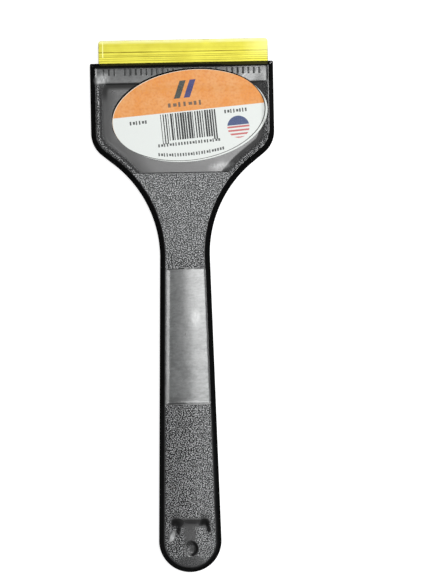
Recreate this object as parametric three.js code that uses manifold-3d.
// A one-hand scraper: a moulded plastic handle and head, a brass blade moulded into the
// head's front edge, and an oval paper label stuck on the face of the head.
// Millimetres. +X across, +Y towards the blade's edge, +Z up, with the back lying on Z = 0.
// The origin is on the back, half way along the overall length.

import * as THREE from 'three';
import { mergeVertices } from 'three/addons/utils/BufferGeometryUtils.js';
import Module from 'manifold-3d';

const wasm = await Module();
wasm.setup();

// ---- Driving dimensions ----

const overallLength = 279.4;      // 11 inches, from the blade's edge to the end of the handle
const bodyThickness = 9.5;
const clearance = 0.3;            // between the blade and the plastic moulded round it
const labelGap = 0.05;            // between the label and what it is stuck on

// The moulding's outline, seen from above
const headWidth = 96.1;
const headStraight = 36.6;        // length of the head's straight sides
const shoulderRadius = 14.7;
const shoulderAngle = 51.3;       // degrees that the shoulder turns from the handle's line
const shoulderStraight = 7.8;     // length of the straight between shoulder and neck curve
const neckRadius = 62.2;
const neckWidth = 26.2;           // the narrowest place
const endRadius = 16.4;           // half round at the end of the handle

// The sloped flank all round, down to an upright band at the parting line
const flankWidth = 2.7;
const flankHeight = 3.3;

// Shallow pockets moulded in the front and in the back
const rimWidth = 4.4;             // from the outline to the head pocket's side walls
const pocketDepth = 0.9;          // the large pocket in the head
const titleDepth = 0.35;          // the strip along the front edge, less deep
const titleHeight = 8.2;
const titleInset = 3.2;           // from the outline to the strip's side walls
const lipWidth = 2.7;             // from the front edge to the strip
const pocketCorner = 4.2;
const pocketLength = 47.4;        // from the strip's step to the pocket's lower edge
const gripDepth = 0.3;            // the smooth panel in the handle
const gripTop = 19.3;             // Y of the panel's upper edge
const gripLength = 70.9;
const gripInset = 3.9;            // from the outline to the panel's side walls

// Raised bars in the strip, in groups with spaces between
const barGroups = [3, 10, 7, 7];
const barPitch = 2.8;
const barWidth = 1.0;
const barHeight = 3.4;
const barMargin = 0.8;            // from the strip's upper edge
const barSpace = 2.8;             // extra space between two groups

// The blind dimple at the end of the handle, with a hollow curving round its boss
const dimpleRadius = 4.4;
const dimpleDepth = 1.0;
const dimpleFromEnd = 12.8;
const hollowWidth = 21.6;
const hollowDepth = 1.8;
const hollowTop = 16.0;           // above the dimple's centre
const hollowBottom = 4.2;         // above the dimple's centre
const hollowCorner = 5.0;
const bossRadius = 5.7;
const bossTop = 12.2;             // above the dimple's centre

// The brass blade
const bladeWidth = 88.9;          // 3.5 inches
const bladeThickness = 1.6;
const bladeExposed = 12.1;
const bladeTang = 14.0;           // hidden in the head
const bladeCorner = 1.6;
const bladeShift = 0.95;          // the blade sits a little to one side
const bevelLength = 6.4;
const edgeThickness = 0.5;
const anchorCount = 6;
const anchorRadius = 3.0;
const anchorPitch = 14.0;

// The oval label
const labelLength = 81.4;
const labelWidth = 47.7;
const labelThickness = 0.15;
const labelX = 4.0;
const labelY = 99.2;
const labelTilt = 6.0;            // degrees
const stepRamp = 3.5;             // length over which it bridges the strip's step
const wallRamp = 2.0;             // length over which it climbs the pocket's side wall
const rampMargin = 0.1;           // it is at its full height just before each edge

// ---- Places worked out from the dimensions ----

const halfLength = overallLength / 2;
const headY = halfLength - bladeExposed;
const midZ = bodyThickness / 2;
const half = Math.PI / 2;
const shoulderTurn = THREE.MathUtils.degToRad(shoulderAngle);
const shoulderY = headY - headStraight;
const endY = -halfLength + endRadius;
const dimpleY = -halfLength + dimpleFromEnd;
const stripTopY = headY - lipWidth;
const stepY = stripTopY - titleHeight;
const pocketBottomY = stepY - pocketLength;
const stripZ = bodyThickness - titleDepth;
const pocketZ = bodyThickness - pocketDepth;

// The neck curve meets the shoulder's straight and ends square to the handle's axis
const straightEnd = new THREE.Vector2(
  headWidth / 2 - shoulderRadius * (1 - Math.cos(shoulderTurn))
    - shoulderStraight * Math.sin(shoulderTurn),
  shoulderY - shoulderRadius * Math.sin(shoulderTurn)
    - shoulderStraight * Math.cos(shoulderTurn),
);
const neckCentreX = neckWidth / 2 + neckRadius;
const neckY = straightEnd.y - neckRadius * Math.sin(shoulderTurn);

// ---- Solids: three.js shapes joined and cut ----

function solidOf(geometry) {
  const bare = geometry.index ? geometry.toNonIndexed() : geometry.clone();
  bare.deleteAttribute('normal');
  bare.deleteAttribute('uv');
  const merged = mergeVertices(bare, 1e-4);
  return new wasm.Manifold(new wasm.Mesh({
    numProp: 3,
    vertProperties: new Float32Array(merged.attributes.position.array),
    triVerts: new Uint32Array(merged.index.array),
  }));
}

function namedMesh(solid, name, material) {
  const { vertProperties, triVerts } = solid.getMesh();
  const geometry = new THREE.BufferGeometry();
  geometry.setAttribute('position', new THREE.BufferAttribute(vertProperties, 3));
  geometry.setIndex(new THREE.BufferAttribute(triVerts, 1));
  geometry.computeVertexNormals();
  const mesh = new THREE.Mesh(geometry, material);
  mesh.name = name;
  return mesh;
}

// An upright prism of a plan shape, between two heights
function prism(shape, z0, z1, curveSegments = 12) {
  const depth = z1 - z0;
  const geometry = new THREE.ExtrudeGeometry(shape, { depth, bevelEnabled: false, curveSegments });
  return solidOf(geometry.translate(0, 0, z0));
}

function box(x0, x1, y0, y1, z0, z1) {
  const geometry = new THREE.BoxGeometry(x1 - x0, y1 - y0, z1 - z0);
  return solidOf(geometry.translate((x0 + x1) / 2, (y0 + y1) / 2, (z0 + z1) / 2));
}

function disc(x, y, radius, z0, z1, sides) {
  const geometry = new THREE.CylinderGeometry(radius, radius, z1 - z0, sides);
  geometry.rotateX(half);
  return solidOf(geometry.translate(x, y, (z0 + z1) / 2));
}

// The same cut made in the front and, turned over, in the back
function bothFaces(solid) {
  return solid.add(solid.mirror([0, 0, 1]).translate([0, 0, bodyThickness]));
}

// ---- Plan shapes ----

// The moulding's outline moved inwards by inset: lines and arcs stay parallel to it
function outline(inset) {
  const w = headWidth / 2 - inset;
  const shoulder = shoulderRadius - inset;
  const shoulderX = headWidth / 2 - shoulderRadius;
  const neck = neckRadius + inset;
  const end = endRadius - inset;
  const shape = new THREE.Shape();
  shape.moveTo(-w, headY - inset);
  shape.lineTo(-w, shoulderY);
  shape.absarc(-shoulderX, shoulderY, shoulder, Math.PI, Math.PI + shoulderTurn, false);
  shape.absarc(-neckCentreX, neckY, neck, shoulderTurn, 0, true);
  shape.absarc(0, endY, end, Math.PI, 2 * Math.PI, false);
  shape.absarc(neckCentreX, neckY, neck, Math.PI, Math.PI - shoulderTurn, true);
  shape.absarc(shoulderX, shoulderY, shoulder, -shoulderTurn, 0, false);
  shape.lineTo(w, headY - inset);
  return shape;
}

function roundedRect(x0, x1, y0, y1, radius) {
  const shape = new THREE.Shape();
  shape.absarc(x1 - radius, y1 - radius, radius, 0, half, false);
  shape.absarc(x0 + radius, y1 - radius, radius, half, Math.PI, false);
  shape.absarc(x0 + radius, y0 + radius, radius, Math.PI, Math.PI + half, false);
  shape.absarc(x1 - radius, y0 + radius, radius, -half, 0, false);
  return shape;
}

// ---- The moulded handle and head ----

function bodyBlank() {
  const geometry = new THREE.ExtrudeGeometry(outline(0), {
    depth: bodyThickness - 2 * flankHeight,
    bevelEnabled: true,
    bevelThickness: flankHeight,
    bevelSize: flankWidth,
    bevelOffset: -flankWidth,
    bevelSegments: 1,
    curveSegments: 12,
  });
  return solidOf(geometry.translate(0, 0, flankHeight));
}

function headPocket() {
  const side = headWidth / 2 - rimWidth;
  const window = roundedRect(-side, side, pocketBottomY, stepY, pocketCorner);
  const inside = prism(outline(rimWidth), pocketZ, bodyThickness + 1);
  return inside.intersect(prism(window, pocketZ - 1, bodyThickness + 2, 4));
}

// Raised bars, standing as high as the rim, in groups centred on the strip
function titleBars() {
  const letters = barGroups.reduce((sum, n) => sum + n, 0);
  const run = (letters - 1) * barPitch + (barGroups.length - 1) * barSpace;
  const top = stripTopY - barMargin;
  let x = -run / 2;
  let bars = null;
  for (const count of barGroups) {
    for (let i = 0; i < count; i += 1) {
      const bar = box(x - barWidth / 2, x + barWidth / 2, top - barHeight, top, 0, bodyThickness);
      bars = bars ? bars.add(bar) : bar;
      x += barPitch;
    }
    x += barSpace;
  }
  return bars;
}

function titleStrip() {
  const side = headWidth / 2 - titleInset;
  return box(-side, side, stepY, stripTopY, stripZ, bodyThickness + 1);
}

function gripPanel() {
  const window = box(
    -headWidth, headWidth, gripTop - gripLength, gripTop,
    bodyThickness - gripDepth, bodyThickness + 1,
  );
  return window.intersect(prism(outline(gripInset), 0, bodyThickness + 2));
}

function endHollow() {
  const side = hollowWidth / 2;
  const hollow = roundedRect(
    -side, side, dimpleY + hollowBottom, dimpleY + hollowTop, hollowCorner,
  );
  const boss = roundedRect(
    -bossRadius, bossRadius, dimpleY - bossRadius, dimpleY + bossTop, bossRadius - 0.1,
  );
  const cut = prism(hollow, bodyThickness - hollowDepth, bodyThickness + 1, 4);
  return cut.subtract(prism(boss, 0, bodyThickness + 2, 4));
}

function dimple() {
  return disc(0, dimpleY, dimpleRadius, bodyThickness - dimpleDepth, bodyThickness + 1, 32);
}

// Middles of the anchor holes in the blade's tang, along X
function anchorPlaces() {
  const places = [];
  for (let i = 0; i < anchorCount; i += 1) {
    places.push(bladeShift + (i - (anchorCount - 1) / 2) * anchorPitch);
  }
  return places;
}

// The slot holds the tang; pegs of the same plastic run through the anchor holes
function bladeSlot() {
  const side = bladeWidth / 2 + clearance;
  const rise = bladeThickness / 2 + clearance;
  const anchorY = headY - bladeTang / 2;
  let slot = box(
    bladeShift - side, bladeShift + side, headY - bladeTang - clearance, headY + 1,
    midZ - rise, midZ + rise,
  );
  for (const x of anchorPlaces()) {
    slot = slot.subtract(disc(x, anchorY, anchorRadius - clearance, 0, bodyThickness, 16));
  }
  return slot;
}

function handleBody() {
  const front = headPocket().add(titleStrip()).subtract(titleBars());
  const back = headPocket().mirror([0, 0, 1]).translate([0, 0, bodyThickness]);
  return bodyBlank()
    .subtract(front)
    .subtract(back)
    .subtract(bothFaces(gripPanel()))
    .subtract(bothFaces(endHollow()))
    .subtract(bothFaces(dimple()))
    .subtract(bladeSlot());
}

// ---- The brass blade ----

function brassBlade() {
  const x0 = bladeShift - bladeWidth / 2;
  const x1 = bladeShift + bladeWidth / 2;
  const tangY = headY - bladeTang;
  const plan = new THREE.Shape();
  plan.moveTo(x0, tangY);
  plan.lineTo(x1, tangY);
  plan.absarc(x1 - bladeCorner, halfLength - bladeCorner, bladeCorner, 0, half, false);
  plan.absarc(x0 + bladeCorner, halfLength - bladeCorner, bladeCorner, half, Math.PI, false);

  // Seen from the end: flat cheeks, then a bevel on both sides down to a blunt edge
  const t = bladeThickness / 2;
  const e = edgeThickness / 2;
  const bevelY = halfLength - bevelLength;
  const section = new THREE.Shape([
    new THREE.Vector2(tangY - 1, -t),
    new THREE.Vector2(bevelY, -t),
    new THREE.Vector2(halfLength + 0.01, -e),
    new THREE.Vector2(halfLength + 0.01, e),
    new THREE.Vector2(bevelY, t),
    new THREE.Vector2(tangY - 1, t),
  ]);
  const bar = new THREE.ExtrudeGeometry(section, { depth: bladeWidth + 2, bevelEnabled: false });
  bar.rotateY(half).rotateX(half);
  bar.translate(x0 - 1, 0, midZ);

  let blade = prism(plan, midZ - bladeThickness, midZ + bladeThickness, 4).intersect(solidOf(bar));
  for (const x of anchorPlaces()) {
    blade = blade.subtract(disc(x, headY - bladeTang / 2, anchorRadius, 0, bodyThickness, 24));
  }
  return blade;
}

// ---- The label ----

// It lies flat in the pocket and climbs at two places: over the step on to the strip's bars,
// and on to the rim at the pocket's right-hand wall. This is the space above its underside
// when that is raised by lift.
function spaceAboveLabel(lift) {
  const low = pocketZ + labelGap + lift;
  const high = bodyThickness + labelGap + lift;
  const top = 2 * bodyThickness;
  const far = overallLength;
  const wallX = headWidth / 2 - rimWidth;
  const overStep = new THREE.Shape([
    new THREE.Vector2(-far, low),
    new THREE.Vector2(stepY - stepRamp, low),
    new THREE.Vector2(stepY - rampMargin, high),
    new THREE.Vector2(far, high),
    new THREE.Vector2(far, top),
    new THREE.Vector2(-far, top),
  ]);
  const overWall = new THREE.Shape([
    new THREE.Vector2(-far, low),
    new THREE.Vector2(wallX - wallRamp, low),
    new THREE.Vector2(wallX - rampMargin, high),
    new THREE.Vector2(far, high),
    new THREE.Vector2(far, top),
    new THREE.Vector2(-far, top),
  ]);
  const depth = 2 * far;
  const alongX = new THREE.ExtrudeGeometry(overStep, { depth, bevelEnabled: false });
  alongX.rotateY(half).rotateX(half);
  alongX.translate(-far, 0, 0);
  const alongY = new THREE.ExtrudeGeometry(overWall, { depth, bevelEnabled: false });
  alongY.rotateX(half);
  alongY.translate(0, far, 0);
  return solidOf(alongX).intersect(solidOf(alongY));
}

function label() {
  const oval = new THREE.CylinderGeometry(1, 1, bodyThickness, 64);
  oval.rotateX(half);
  oval.scale(labelLength / 2, labelWidth / 2, 1);
  oval.rotateZ(THREE.MathUtils.degToRad(labelTilt));
  oval.translate(labelX, labelY, bodyThickness);
  const sheet = spaceAboveLabel(0).subtract(spaceAboveLabel(labelThickness));
  return solidOf(oval).intersect(sheet);
}

// ---- The model ----

const plastic = new THREE.MeshStandardMaterial({ color: 0x151617, roughness: 0.4, metalness: 0 });
const brass = new THREE.MeshStandardMaterial({ color: 0xdcc653, roughness: 0.28, metalness: 1 });
const paper = new THREE.MeshStandardMaterial({ color: 0xe4e4dc, roughness: 0.5, metalness: 0 });

const scraper = new THREE.Group();
scraper.add(namedMesh(handleBody(), 'handle_body', plastic));
scraper.add(namedMesh(brassBlade(), 'brass_blade', brass));
scraper.add(namedMesh(label(), 'label', paper));

export default scraper;
